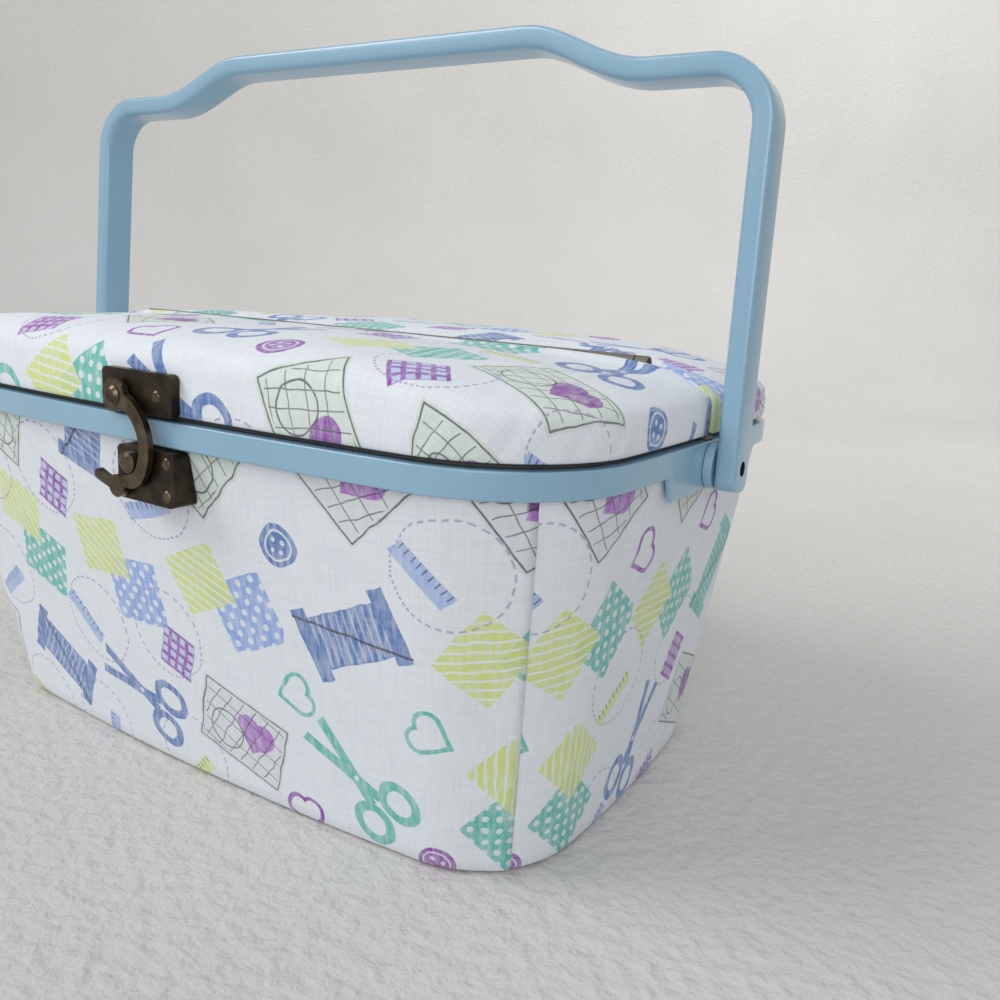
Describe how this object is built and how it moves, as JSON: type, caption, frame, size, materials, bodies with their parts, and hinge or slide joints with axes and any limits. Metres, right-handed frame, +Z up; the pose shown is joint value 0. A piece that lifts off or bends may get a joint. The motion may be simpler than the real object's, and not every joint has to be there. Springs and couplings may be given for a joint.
{
  "type": "sewing box",
  "caption": "Tapered fabric-covered carrier with padded lids hinged on a central rod, a plastic rim band, swing-hook latches and a bail handle.",
  "frame": {"origin": "on the table under the middle of the box", "axes": "+X along the box's length, -Y towards the front latch, +Z up"},
  "size_m": [0.3304, 0.24, 0.2697],
  "materials": {
    "printed_cotton": "plain-weave cotton with a small printed patchwork of pastel blues, mint, lilac and lime on off-white",
    "lining_cotton": "plain off-white cotton",
    "box_board": "raw pressed board, hidden under the fabric",
    "blue_plastic": "smooth moulded sky-blue plastic with a soft sheen",
    "cream_plastic": "moulded off-white plastic",
    "steel": "plain drawn steel",
    "bronzed_metal": "pressed steel plated an antique bronze, brighter on its edges"
  },
  "bodies": {
    "box": {"wall_board": "box_board", "base_board": "box_board", "fabric_front": "printed_cotton", "fabric_rear": "printed_cotton", "fabric_right_end": "printed_cotton", "fabric_left_end": "printed_cotton", "fabric_base": "printed_cotton", "lining_wall": "lining_cotton", "lining_base": "lining_cotton", "rim_band": "blue_plastic", "spine": "cream_plastic", "spine_knuckles": "cream_plastic", "hinge_end_posts": "cream_plastic", "hinge_rod": "steel", "pivot_washers": "blue_plastic", "pivot_pins": "steel", "keeper_plates": "bronzed_metal", "keeper_studs": "bronzed_metal", "keeper_rivets": "bronzed_metal"},
    "carry_handle": {"handle": "blue_plastic"},
    "front_lid": {"front_lid_frame": "cream_plastic", "front_lid_knuckles": "cream_plastic", "front_lid_pad": "printed_cotton", "front_lid_lining": "lining_cotton", "front_hook_plate": "bronzed_metal", "front_plate_rivet": "bronzed_metal", "front_hook_rivet": "bronzed_metal"},
    "front_latch_hook": {"front_hook": "bronzed_metal"},
    "rear_lid": {"rear_lid_frame": "cream_plastic", "rear_lid_knuckles": "cream_plastic", "rear_lid_pad": "printed_cotton", "rear_lid_lining": "lining_cotton", "rear_hook_plate": "bronzed_metal", "rear_plate_rivet": "bronzed_metal", "rear_hook_rivet": "bronzed_metal"},
    "rear_latch_hook": {"rear_hook": "bronzed_metal"}
  },
  "joints": [
    {"name": "handle_swing", "type": "hinge", "parent": "box", "child": "carry_handle", "pos_m": [0, 0, 0.128], "axis": [1, 0, 0], "range_deg": [-122, 128]},
    {"name": "front_lid_hinge", "type": "hinge", "parent": "box", "child": "front_lid", "pos_m": [0, 0, 0.159], "axis": [-1, 0, 0], "range_deg": [0, 75]},
    {"name": "rear_lid_hinge", "type": "hinge", "parent": "box", "child": "rear_lid", "pos_m": [0, 0, 0.159], "axis": [1, 0, 0], "range_deg": [0, 75]},
    {"name": "front_hook_swing", "type": "hinge", "parent": "front_lid", "child": "front_latch_hook", "pos_m": [0.006, -0.1177, 0.1425], "axis": [0, -1, 0], "range_deg": [0, 95]},
    {"name": "rear_hook_swing", "type": "hinge", "parent": "rear_lid", "child": "rear_latch_hook", "pos_m": [-0.006, 0.1177, 0.1425], "axis": [0, 1, 0], "range_deg": [0, 95]}
  ]
}
